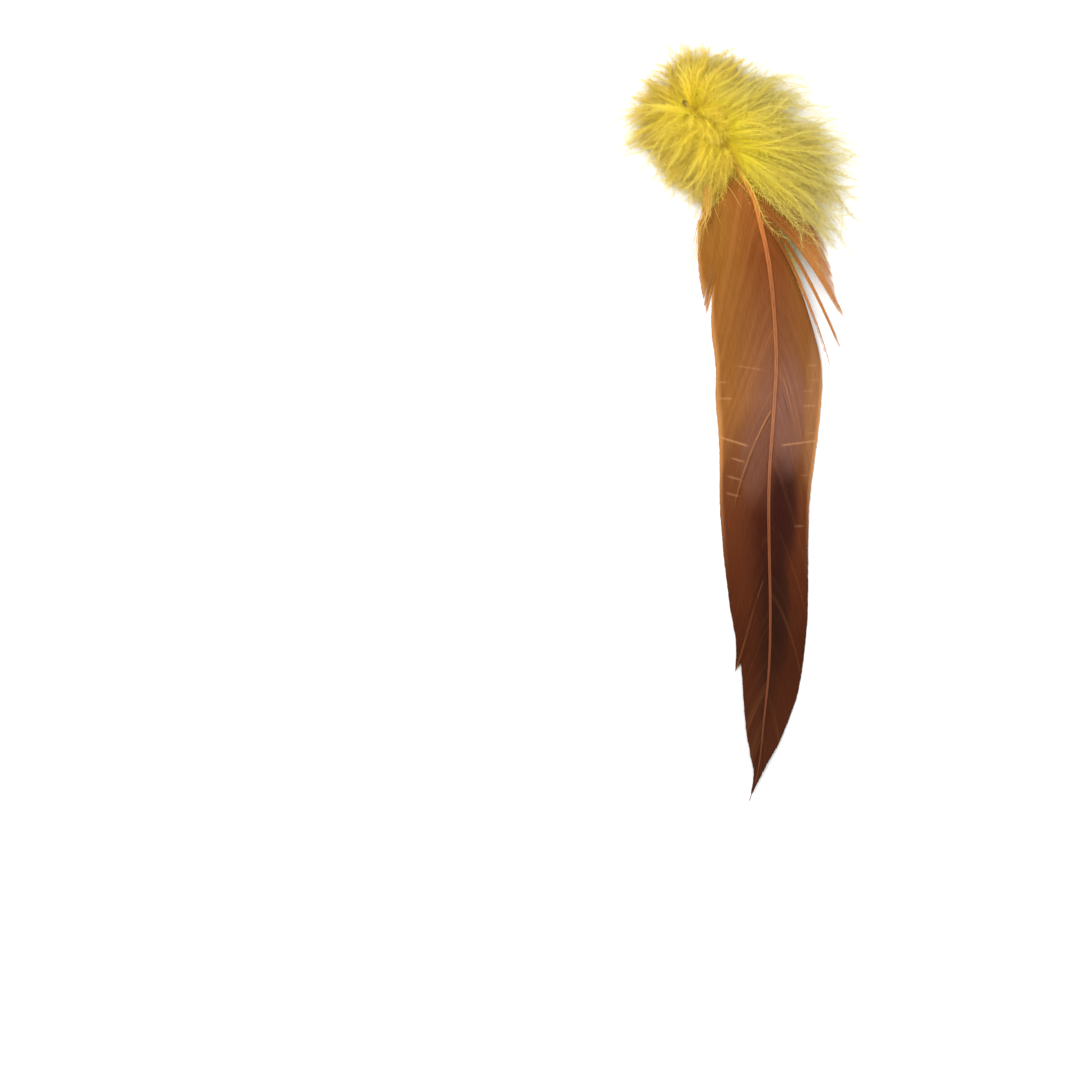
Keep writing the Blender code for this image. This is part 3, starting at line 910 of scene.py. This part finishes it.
@dataclass
class BarbBed:
    """Lays out the barbs of one side: where each grows, how it curves and how it lies."""

    surface: VaneSurface
    side: Side
    seed: int
    shares: tuple[float, ...] = (
        0.0, 0.05, 0.12, 0.21, 0.31, 0.42, 0.53, 0.64, 0.75, 0.85, 0.93, 0.98, 1.0,
    )
    lead: float = 0.12
    bow: float = 0.32
    droop: float = 0.0

    def lay(
        self,
        roots: np.ndarray,
        tips: np.ndarray,
        reaches: np.ndarray,
        partings: tuple[Parting, ...] = (),
        height: float = 0.30,
        ruffle: float = 0.03,
        unrest: float = 0.12,
    ) -> tuple[np.ndarray, np.ndarray, np.ndarray]:
        """Works out the barbs' paths.

        Args:
            roots: where each barb grows, in millimetres along the shaft.
            tips: how far along the shaft each one ends.
            reaches: how far from the shaft each one ends.
            partings: where barbs have come apart.
            height: how high the barbs lie over the sheet's underside.
            ruffle: how much their heights wander.
            unrest: how much the lines that they take wander.

        Returns:
            The paths, their vane map positions and their tones, which also carry the partings' painted light
            and shadow lines.
        """
        share = np.array(self.shares)[None, :]
        middle = 2 * (1 - share) * share
        run = (tips - roots)[:, None]
        along = roots[:, None] + run * (middle * self.lead + share**2)
        reach = reaches[:, None] * (middle * self.bow + share**2)
        flow = wander(roots, 4.6, self.seed)[:, None] * share
        flow = flow + 0.5 * wander(roots, 0.9, self.seed + 1)[:, None] * share**2
        along = along + unrest * flow
        lifted = wander(roots[:, None] + share * 3.0, 1.7, self.seed + 2)
        lifted = lifted + 0.6 * wander(roots[:, None] + share * 2.0, 0.5, self.seed + 3)
        rise = height + ruffle * lifted * np.sqrt(share)
        tone = 0.5 + 0.09 * wander(roots[:, None] + share * 4.0, 2.3, self.seed + 4)
        tone = tone + 0.08 * wander(roots[:, None] + share * 1.5, 0.55, self.seed + 5)
        for parting in partings:
            off = roots - parting.root
            near = np.exp(-np.abs(off) / parting.spread)[:, None]
            open_still = 1 - ease(parting.ends_at - 0.1, parting.ends_at, share)
            opened = ease(parting.opens_at, 1.0, share) * open_still
            along = along + np.sign(off)[:, None] * parting.gap / 2 * near * opened
            over = (off < 0)[:, None] * near * opened
            rise = rise + parting.lift * over
            # Painted light and shade of each parting: a light line on the lifted barbs and a shadow line
            # beside them, put into the tone.
            seen = ease(parting.opens_at, parting.opens_at + 0.12, share) * open_still
            line = np.exp(-np.abs(off + 0.3) / 0.30)[:, None] * seen
            dark = np.exp(-np.abs(off - 0.5) / 0.40)[:, None] * seen
            tone = tone + parting.pale * (line - dark)
        signed = reach * self.side.value
        paths = self.surface.place(along, signed, np.maximum(rise, 0.14), self.droop)
        place = np.stack([along / MAP_LENGTH, 0.5 + signed / MAP_WIDTH], axis=-1)
        return paths, place, np.clip(tone, 0.0, 1.0)


@dataclass
class Vane:
    """One closed vane: a few hundred barbs that lie on each other like tiles."""

    bed: BarbBed
    name: str
    tips: tuple[tuple[float, float, float], ...]
    partings: tuple[Parting, ...]
    pitch: float = 0.30
    tip_pitch: float = 0.55
    width: float = 0.36
    ridge: float = 0.05

    def build(self, material: bpy.types.Material) -> bpy.types.Object:
        """Makes the vane.

        Args:
            material: the barbs' finish.

        Returns:
            The finished piece.
        """
        chance = np.random.default_rng(self.bed.seed)
        roots = self._roots()
        roots = roots + chance.uniform(-0.04, 0.04, len(roots))
        places, tips, reach = np.array(self.tips).T
        ends = np.interp(roots, places, tips) + chance.normal(0.0, 0.06, len(roots))
        uneven = 0.05 * wander(roots, 1.4, self.bed.seed + 6) + chance.uniform(-0.03, 0.03, len(roots))
        reaches = np.maximum(np.interp(roots, places, reach) + uneven, 0.10)
        paths, place, tone = self.bed.lay(roots, ends, reaches, self.partings)
        share = np.broadcast_to(np.array(self.bed.shares), tone.shape)
        narrow = 1 - 0.35 * ease(0.92, 1.0, share)
        narrow = narrow * (0.55 + 0.45 * ease(0.0, 0.1, share))
        near_tip = np.clip(reaches / 3.0, 0.35, 1.0)[:, None]
        fibres = FibreMesh(self.name)
        fibres.add_strands(
            paths,
            self.width * narrow * near_tip,
            self.ridge * narrow,
            place,
            np.stack([share, tone], axis=-1),
            tilt=0.16 * self.bed.side.value,
        )
        return fibres.build(material)

    def _roots(self) -> np.ndarray:
        """Where the barbs grow: evenly, and closer where their tips would lie too far apart."""
        places, ends, reach = np.array(self.tips).T
        apart = np.hypot(np.diff(ends), np.diff(reach))
        steps = np.maximum(np.diff(places) / self.pitch, apart / self.tip_pitch)
        count = np.concatenate([[0.0], np.cumsum(steps)])
        return np.interp(np.arange(0.0, count[-1]), count, places)


@dataclass(frozen=True)
class Tuft:
    """A group of loose barbs that end together in a point."""

    roots: tuple[float, float]
    tip: float
    reach: float
    barbs: int
    gather: float = 0.75
    width: float = 0.26
    lift: float = 0.0
    pale: float = 0.15


@dataclass
class LooseBarbs:
    """Tufts of barbs of one side that have unhooked from the vane."""

    bed: BarbBed
    name: str
    tufts: tuple[Tuft, ...]
    fan: float = 3.0
    barbule: float = 0.6
    barbules: int = 46

    def build(self, material: bpy.types.Material) -> bpy.types.Object:
        """Makes all the tufts as one piece.

        Args:
            material: the barbs' finish.

        Returns:
            The finished piece.
        """
        fibres = FibreMesh(self.name)
        for number, tuft in enumerate(self.tufts):
            chance = np.random.default_rng(self.bed.seed + number)
            spread = np.linspace(-1.0, 1.0, tuft.barbs)
            roots = np.linspace(*tuft.roots, tuft.barbs) + chance.uniform(-0.05, 0.05, tuft.barbs)
            own = tuft.tip + spread * self.fan * (1 - tuft.gather)
            short = np.abs(chance.normal(0.0, 1.3, tuft.barbs)) + 2.4 * np.abs(spread) ** 2
            ends = own - short * 0.9
            reaches = tuft.reach - short * 0.40 - spread * 0.6 * (1 - tuft.gather)
            height = 0.3 + tuft.lift
            paths, place, tone = self.bed.lay(roots, ends, reaches, height=height, ruffle=0.16, unrest=0.5)
            share = np.broadcast_to(np.array(self.bed.shares), tone.shape)
            narrow = (0.6 + 0.4 * ease(0.0, 0.1, share)) * (1 - 0.8 * ease(0.55, 1.0, share))
            tone = np.clip(tone + tuft.pale * ease(0.4, 0.9, share), 0.0, 1.0)
            fibre = np.stack([share, tone], axis=-1)
            fibres.add_strands(paths, tuft.width * narrow, 0.06 * narrow, place, fibre)
            self._fringe(fibres, paths, place, tone, chance)
        return fibres.build(material)

    def _fringe(
        self,
        fibres: FibreMesh,
        paths: np.ndarray,
        place: np.ndarray,
        tone: np.ndarray,
        chance: np.random.Generator,
    ) -> None:
        """Adds short barbules along the outer halves of the barbs."""
        size = (tone.shape[0], self.barbules)
        along = np.sort(chance.uniform(0.35, 0.99, size), axis=1)
        at = np.interp(along, np.array(self.bed.shares), np.arange(tone.shape[1]))
        roots, ahead, before = on_barbs(paths, at)
        sideways = np.cross(ahead, (0.0, 0.0, 1.0)) * chance.choice((-1.0, 1.0), size)[..., None]
        length = self.barbule * chance.uniform(0.4, 1.0, size)[..., None]
        ends = roots + (ahead * 0.85 + sideways * 0.5) * length
        ends[..., 2] += chance.uniform(-0.08, 0.12, size)
        ends[..., 2] = np.maximum(ends[..., 2], 0.05)
        fibre = np.stack([along, tone[before]], axis=-1)
        fibres.add_spikes(
            roots.reshape(-1, 3),
            ends.reshape(-1, 3),
            np.full(at.size, 0.07),
            place[before].reshape(-1, 2),
            fibre.reshape(-1, 2),
        )


@dataclass
class StrayBarbs:
    """Single barbs that lie loose across the others."""

    quill_end: tuple[float, float]
    name: str
    routes: tuple[tuple[tuple[float, float, float], ...], ...]
    width: float = 0.22
    points: int = 18

    def build(self, material: bpy.types.Material) -> bpy.types.Object:
        """Makes all the stray barbs as one piece.

        Args:
            material: the barbs' finish.

        Returns:
            The finished piece.
        """
        fibres = FibreMesh(self.name)
        share = np.linspace(0.0, 1.0, self.points)[None, :]
        narrow = (0.5 + 0.5 * ease(0.0, 0.2, share)) * (1 - 0.8 * ease(0.5, 1.0, share))
        for route in self.routes:
            line = DrawnLine(self.quill_end, route)
            paths = line.point(share * line.length)
            place = paths[..., :2] / MAP_LENGTH + 0.5
            fibre = np.stack([share, np.full_like(share, 0.5)], axis=-1)
            fibres.add_strands(paths, self.width * narrow, self.width * 0.6 * narrow, place, fibre)
        return fibres.build(material)


@dataclass(frozen=True)
class DownRow:
    """A row of tufts of down: ranges run from the tuft nearest the quill's end to the last."""

    side: Side
    tufts: int
    roots: tuple[float, float]
    lengths: tuple[float, float]
    angles: tuple[float, float]
    lifts: tuple[float, float]


@dataclass
class Down:
    """Part of the down: tufts of soft barbs, fanned out round the lower shaft, with barbules all along."""

    line: DrawnLine
    name: str
    seed: int
    rows: tuple[DownRow, ...]
    barbs: int = 8
    points: int = 14
    barbules: int = 103
    bend: float = 20.0
    barbule: float = 2.1
    angle_spread: float = 13.0
    sway: float = 52.0
    loose: float = 0.24
    opening: float = 15.0
    stray: float = 4.0
    stray_loose: float = 20.0

    def build(self, material: bpy.types.Material) -> bpy.types.Object:
        """Makes the down.

        Args:
            material: the down's finish.

        Returns:
            The finished piece.
        """
        chance = np.random.default_rng(self.seed)
        fibres = FibreMesh(self.name)
        for row in self.rows:
            paths = self._paths(row, chance)
            share = np.broadcast_to(np.linspace(0.0, 1.0, self.points), paths.shape[:2])
            shared = np.repeat(chance.normal(0.5, 0.18, row.tufts), self.barbs)
            last = ease(0.70, 1.0, np.repeat(np.arange(row.tufts) / row.tufts, self.barbs))
            tone = np.clip(shared + chance.normal(0.0, 0.12, len(shared)) + 0.5 * last, 0.0, 1.0)[:, None]
            tone = tone * np.ones_like(share)
            place = np.stack([paths[..., 1] / MAP_LENGTH + 0.5, paths[..., 0] / MAP_WIDTH + 0.5], axis=-1)
            thick = 0.12 * (1 - 0.7 * share)
            fibres.add_strands(paths, thick, thick * 0.8, place, np.stack([share, tone], axis=-1))
            self._fringe(fibres, paths, place, tone, chance)
        return fibres.build(material)

    def _paths(self, row: DownRow, chance: np.random.Generator) -> np.ndarray:
        """The middle of each barb: out from the shaft, curling, and sinking towards the surface.

        Args:
            row: the row of tufts.
            chance: where the random numbers come from.

        Returns:
            The paths, tuft by tuft, as barbs x points x 3.
        """
        order = (np.arange(row.tufts) + chance.uniform(0.0, 1.0, row.tufts)) / row.tufts
        length = row.lengths[0] + (row.lengths[1] - row.lengths[0]) * order
        length = length * (0.66 + 0.36 * np.sqrt(chance.uniform(0.0, 1.0, row.tufts)))
        angle = row.angles[0] + (row.angles[1] - row.angles[0]) * order
        angle = angle + chance.normal(0.0, self.angle_spread, row.tufts)
        lift = chance.uniform(*row.lifts, row.tufts)
        sway = chance.uniform(-self.sway, self.sway, row.tufts)
        waves = chance.uniform(0.4, 1.4, row.tufts)
        phase = chance.uniform(0.0, 1.0, row.tufts)
        fall = chance.uniform(0.35, 0.95, row.tufts)
        order, length, angle, lift, sway, waves, phase, fall = (
            np.repeat(each, self.barbs) for each in (order, length, angle, lift, sway, waves, phase, fall)
        )
        count = len(order)
        loose = chance.uniform(0.0, 1.0, count) < self.loose
        length = length * np.where(loose, chance.uniform(0.6, 1.15, count), chance.uniform(0.74, 1.02, count))
        lift = lift + chance.normal(0.0, 0.45, count)
        opening = chance.normal(0.0, self.opening, count)
        far, near = chance.normal(0.0, self.stray_loose, count), chance.normal(0.0, self.stray, count)
        stray = np.where(loose, far, near)
        roots = row.roots[0] + (row.roots[1] - row.roots[0]) * order + chance.normal(0.0, 0.45, count)
        roots = np.maximum(roots, row.roots[0] - 0.4)
        start = self.line.point(roots)
        across = self.line.across(roots) * row.side.value
        ahead = self.line.heading(roots)
        ahead[:, 2] = 0.0
        ahead = unit(ahead)
        share = np.linspace(0.0, 1.0, self.points)[None, :]
        middle = (share[:, 1:] + share[:, :-1]) / 2
        curl = sway[:, None] * np.sin(math.tau * (middle * waves[:, None] + phase[:, None])) * middle
        parted = opening[:, None] * (1 - 1.7 * middle) + stray[:, None] * middle
        turn = np.radians(angle[:, None] - self.bend * middle + curl + parted)
        steps = ahead[:, None] * np.cos(turn)[..., None] + across[:, None] * np.sin(turn)[..., None]
        steps = steps * (length[:, None, None] / (self.points - 1))
        paths = start[:, None] + np.concatenate([np.zeros((count, 1, 3)), np.cumsum(steps, axis=1)], axis=1)
        arch = lift[:, None] * np.sin(math.pi * np.minimum(1.0, share / 0.87))
        ranges = ((0.1, 0.5), (1.0, 2.5), (0.0, 1.0))
        rise, turns, start_turn = (chance.uniform(*ends, count)[:, None] for ends in ranges)
        ripple = rise * share * np.sin(math.tau * (share * turns + start_turn))
        height = start[:, 2:] * (1 - fall[:, None] * share**2) + arch + ripple
        paths[..., 2] = 0.12 + np.logaddexp(0.0, (height - 0.12) * 3) / 3
        return paths

    def _fringe(
        self,
        fibres: FibreMesh,
        paths: np.ndarray,
        place: np.ndarray,
        tone: np.ndarray,
        chance: np.random.Generator,
    ) -> None:
        """Adds the barbules, in two ranks that are longest near the shaft."""
        size = (tone.shape[0], self.barbules)
        last = self.points - 1
        at = (np.arange(self.barbules) + chance.uniform(0.0, 1.0, size)) / self.barbules
        at = (0.03 + 0.96 * at) * last
        roots, ahead, before = on_barbs(paths, at)
        sideways = unit(np.cross(ahead, (0.0, 0.0, 1.0)))
        upward = np.cross(sideways, ahead)
        rank = np.where(np.arange(self.barbules) % 2 == 0, 0.0, math.pi)[None, :]
        roll = rank + chance.normal(0.0, 0.8, size)
        outward = sideways * np.cos(roll)[..., None] + upward * np.sin(roll)[..., None]
        share = at / last
        lean = np.radians(chance.uniform(28.0, 62.0, size))[..., None]
        length = self.barbule * (1 - 0.6 * share**2) * chance.uniform(0.55, 1.15, size)
        ends = roots + (ahead * np.cos(lean) + outward * np.sin(lean)) * length[..., None]
        ends[..., 2] = np.maximum(ends[..., 2], 0.04)
        fibre = np.stack([np.clip(share + 0.08, 0, 1), tone[before]], axis=-1)
        fibres.add_spikes(
            roots.reshape(-1, 3),
            ends.reshape(-1, 3),
            np.full(at.size, 0.085),
            place[before].reshape(-1, 2),
            fibre.reshape(-1, 2),
        )


@dataclass
class Studio:
    """The pale floor, the soft light and the camera that looks straight down."""

    frame_pixels: float = 1080.0
    quill_pixel: tuple[float, float] = (683.0, 102.0)
    pixel: float = 0.2107
    lens: float = 85.0
    sensor: float = 36.0
    subject_height: float = 3.0
    floor_size: float = 6.0

    def build(self, line: DrawnLine) -> None:
        """Sets up everything that isn't the feather.

        Args:
            line: the shaft's line, whose quill end stands at a known place in the picture.
        """
        self._floor()
        self._lights()
        self._camera(line)
        bpy.context.scene.view_settings.view_transform = "Standard"

    def _floor(self) -> None:
        """A plain pale floor."""
        deselect()
        bpy.ops.mesh.primitive_plane_add(size=self.floor_size)
        floor = bpy.context.object
        floor.name = "floor"
        material, _, shader = new_material("pale_floor")
        shader.inputs["Base Color"].default_value = colour(247, 247, 246)
        shader.inputs["Roughness"].default_value = 0.7
        shader.inputs["Specular IOR Level"].default_value = 0.2
        floor.data.materials.append(material)

    def _lights(self) -> None:
        """A large soft key from the upper left, a weaker fill, and a bright even surround."""
        for name, place, size, power in (
            ("key", (-0.45, 0.35, 0.75), 0.55, 5.8),
            ("fill", (0.60, -0.20, 0.60), 0.80, 1.8),
        ):
            bpy.ops.object.light_add(type="AREA", location=place)
            light = bpy.context.object
            light.name = name
            light.data.size = size
            light.data.energy = power
            light.rotation_mode = "QUATERNION"
            light.rotation_quaternion = (-Vector(place)).to_track_quat("-Z", "Y")
        world = bpy.data.worlds.new("surround")
        world.use_nodes = True
        sky = world.node_tree.nodes["Background"]
        sky.inputs["Color"].default_value = (1.0, 1.0, 1.0, 1.0)
        sky.inputs["Strength"].default_value = 0.88
        bpy.context.scene.world = world

    def _camera(self, line: DrawnLine) -> None:
        """A camera straight above the middle of the picture."""
        middle = self.frame_pixels / 2
        right = (middle - self.quill_pixel[0]) * self.pixel
        up = (self.quill_pixel[1] - middle) * self.pixel
        width = self.frame_pixels * self.pixel
        height = width * self.lens / self.sensor + self.subject_height
        bpy.ops.object.camera_add(
            location=((line.quill_end[0] + right) * MM, (line.quill_end[1] + up) * MM, height * MM),
            rotation=(0.0, 0.0, 0.0),
        )
        camera = bpy.context.object
        camera.data.lens = self.lens
        camera.data.sensor_width = self.sensor
        camera.data.clip_start = 0.01
        bpy.context.scene.camera = camera


LEFT_TIPS = (
    (8.0, 15.0, 6.0), (8.6, 20.0, 9.6), (9.3, 26.0, 11.8), (10.0, 31.0, 13.2), (10.8, 36.0, 14.2),
    (11.5, 40.5, 14.6), (12.1, 44.0, 14.5), (12.4, 47.0, 14.2), (12.6, 49.2, 13.9), (12.8, 47.0, 13.5),
    (13.0, 45.0, 12.9), (13.2, 43.2, 12.2), (13.6, 45.6, 12.4), (14.6, 50.0, 12.95), (17.0, 53.5, 13.1),
    (20.0, 57.0, 12.8), (25.0, 62.5, 12.4), (30.0, 68.0, 12.2), (35.0, 72.0, 11.7), (40.0, 76.0, 11.0),
    (45.0, 80.0, 10.5), (50.0, 84.0, 10.2), (60.0, 92.5, 10.0), (70.0, 101.0, 9.4), (80.0, 108.0, 8.8),
    (86.0, 112.2, 8.4), (90.0, 115.0, 7.8), (97.0, 119.4, 7.1), (101.0, 122.2, 6.9), (102.6, 124.8, 6.95),
    (103.4, 126.6, 6.95), (103.8, 125.4, 6.5), (104.2, 124.2, 6.0), (105.0, 124.6, 5.85), (112.0, 128.6, 5.3),
    (120.0, 133.5, 4.5), (127.5, 139.0, 3.4), (135.0, 144.0, 2.1), (140.0, 147.2, 0.9), (145.0, 150.0, 0.35),
    (149.5, 152.0, 0.15),
)
RIGHT_TIPS = (
    (29.4, 61.5, 10.1), (31.5, 64.0, 10.3), (35.0, 67.6, 10.4), (40.0, 73.0, 10.2), (45.0, 77.6, 10.0),
    (50.0, 82.0, 9.7), (55.0, 86.3, 9.3), (60.0, 90.6, 8.95), (65.0, 94.9, 8.75), (70.0, 99.0, 8.6),
    (80.0, 106.6, 8.4), (90.0, 114.0, 8.15), (97.0, 119.0, 7.8), (104.0, 124.0, 7.35), (112.0, 130.0, 6.7),
    (120.0, 136.0, 5.3), (127.5, 141.0, 3.6), (135.0, 145.4, 1.6), (140.0, 147.8, 0.9), (145.0, 150.0, 0.4),
    (149.5, 152.0, 0.15),
)
# Partings whose pale paints a light line and a shadow line along the crease.
LEFT_PARTINGS = (
    Parting(root=13.0, gap=0.2, lift=0.15, spread=1.2, opens_at=0.74),
    Parting(root=70.0, gap=0.4, lift=0.30, spread=1.8, opens_at=0.03, ends_at=0.86, pale=0.50),
    Parting(root=103.9, gap=0.3, lift=0.20, spread=1.2, opens_at=0.20, pale=0.45),
    Parting(root=101.2, gap=0.1, lift=0.10, spread=0.8, opens_at=0.16, ends_at=0.80, pale=0.28),
)
# Creases right of the shaft; their pale paints light and shadow lines along them.
RIGHT_PARTINGS = (
    Parting(root=58.6, gap=0.2, lift=0.14, spread=0.8, opens_at=0.24, ends_at=0.56, pale=0.26),
    Parting(root=61.0, gap=0.2, lift=0.14, spread=0.8, opens_at=0.18, ends_at=0.60, pale=0.30),
    Parting(root=62.8, gap=0.2, lift=0.12, spread=0.8, opens_at=0.22, ends_at=0.52, pale=0.26),
    Parting(root=66.4, gap=0.2, lift=0.12, spread=0.8, opens_at=0.14, ends_at=0.48, pale=0.24),
)
FLAP = (
    Tuft(roots=(12.5, 17.5), tip=39.5, reach=13.4, barbs=18, gather=0.45, pale=0.26),
    Tuft(roots=(16.0, 21.5), tip=44.5, reach=13.9, barbs=20, gather=0.50, pale=0.32),
    Tuft(roots=(20.0, 25.0), tip=48.0, reach=14.3, barbs=18, gather=0.60, pale=0.38),
    Tuft(roots=(23.5, 28.0), tip=52.2, reach=15.6, barbs=16, gather=0.75, lift=0.1, pale=0.44),
    Tuft(roots=(28.0, 29.6), tip=58.5, reach=14.6, barbs=8, gather=0.85, lift=0.1, pale=0.56),
    Tuft(roots=(28.8, 30.0), tip=61.5, reach=12.1, barbs=7, gather=0.85, lift=0.1, pale=0.50),
)
STRAYS = (
    ((4.0, -9.1, 5.2), (7.8, -13.1, 5.6), (11.6, -17.5, 5.9), (14.5, -20.6, 6.3)),
    ((3.2, -10.8, 4.8), (6.6, -14.8, 4.7), (10.0, -18.9, 4.9), (12.4, -23.1, 5.1)),
    ((3.6, -16.4, 2.3), (4.0, -20.9, 1.7), (5.5, -28.2, 1.1)),
    ((4.6, -13.0, 3.9), (5.4, -18.6, 2.4), (8.1, -25.8, 2.6)),
)
WISPS = (
    Tuft(roots=(7.0, 8.5), tip=42.5, reach=18.4, barbs=5, gather=0.6, width=0.16, lift=0.2, pale=0.35),
    Tuft(roots=(8.0, 9.5), tip=36.5, reach=15.6, barbs=5, gather=0.5, width=0.16, lift=0.3, pale=0.30),
)

GOLD = DownFinish(
    name="golden_wisps",
    stops=(
        (0.0, colour(206, 150, 50)),
        (0.5, colour(216, 164, 64)),
        (1.0, colour(228, 190, 104)),
    ),
    shadow=colour(196, 138, 46),
    olive=colour(206, 172, 84),
)
BRIGHT = DownFinish(
    name="bright_down",
    stops=(
        (0.0, colour(255, 228, 34)),
        (0.25, colour(255, 242, 50)),
        (0.50, colour(254, 236, 80)),
        (0.80, colour(246, 228, 98)),
        (1.0, colour(238, 220, 116)),
    ),
    shadow=colour(255, 224, 44),
    olive=colour(228, 196, 72),
)
BRIGHT_PIECES = ("down_left_low", "down_left_high", "down_at_quill")
DOWN = (
    ("down_right_low", 101, (DownRow(Side.RIGHT, 40, (3.2, 18.5), (17.0, 33.5), (124, 31), (-3.4, 0.8)),)),
    ("down_right_high", 131, (DownRow(Side.RIGHT, 40, (3.4, 17.0), (14.5, 30.5), (118, 35), (0.6, 4.4)),)),
    ("down_left_low", 151, (DownRow(Side.LEFT, 40, (3.2, 15.5), (17.5, 13.5), (128, 44), (-3.4, 0.8)),)),
    ("down_left_high", 171, (DownRow(Side.LEFT, 38, (3.6, 13.5), (16.0, 12.5), (120, 48), (0.6, 4.2)),)),
    (
        "down_at_quill",
        191,
        (
            DownRow(Side.RIGHT, 7, (2.2, 2.8), (12.0, 14.0), (172, 150), (-3.4, -1.2)),
            DownRow(Side.RIGHT, 8, (2.4, 3.6), (14.0, 16.5), (150, 124), (-2.0, 3.4)),
            DownRow(Side.RIGHT, 8, (2.8, 5.0), (16.5, 19.0), (132, 98), (-1.0, 3.6)),
            DownRow(Side.LEFT, 12, (2.2, 3.6), (11.5, 14.5), (176, 134), (-3.4, 0.4)),
            DownRow(Side.RIGHT, 7, (3.2, 7.0), (9.0, 10.0), (70, 22), (3.4, 5.0)),
            DownRow(Side.LEFT, 7, (3.0, 7.4), (9.0, 10.0), (66, 20), (3.4, 5.0)),
            DownRow(Side.RIGHT, 2, (2.6, 3.0), (18.2, 18.8), (115, 112), (0.5, 2.5)),
        ),
    ),
    ("down_right_far", 211, (DownRow(Side.RIGHT, 14, (11.0, 18.4), (28.0, 32.5), (58, 33), (-1.5, 2.2)),)),
)


def build_feather(line: DrawnLine) -> None:
    """Makes and dresses every piece of the feather.

    Args:
        line: the shaft's line that all of them grow from.
    """
    grain = make_grain_group()
    bar = make_bar_group()
    vane_finish = VaneFinish().build(grain, bar)
    horn_finish = HornFinish().build(grain)
    down_finish = DownFinish().build(grain)
    gold_finish = GOLD.build(grain)
    bright_finish = BRIGHT.build(grain)
    surface = VaneSurface(line)
    left, right = BarbBed(surface, Side.LEFT, 11), BarbBed(surface, Side.RIGHT, 31)
    loose_right = BarbBed(surface, Side.RIGHT, 53, bow=0.24, droop=0.030)
    loose_left = BarbBed(surface, Side.LEFT, 71, bow=0.36, droop=0.022)
    dress(Shaft(line).build(horn_finish))
    dress(Vane(left, "left_vane", LEFT_TIPS, LEFT_PARTINGS).build(vane_finish))
    dress(Vane(right, "right_vane", RIGHT_TIPS, RIGHT_PARTINGS).build(vane_finish))
    dress(LooseBarbs(loose_right, "right_flap", FLAP).build(vane_finish))
    dress(LooseBarbs(loose_left, "left_wisps", WISPS).build(gold_finish))
    dress(StrayBarbs(line.quill_end, "stray_barbs", STRAYS).build(gold_finish))
    for name, seed, rows in DOWN:
        down = Down(line, name, seed, rows)
        dress(down.build(bright_finish if name in BRIGHT_PIECES else down_finish))


def main() -> None:
    """Builds the studio and the feather."""
    logging.basicConfig(level=logging.INFO)
    line = DrawnLine()
    Studio().build(line)
    build_feather(line)


if __name__ == "__main__":
    main()
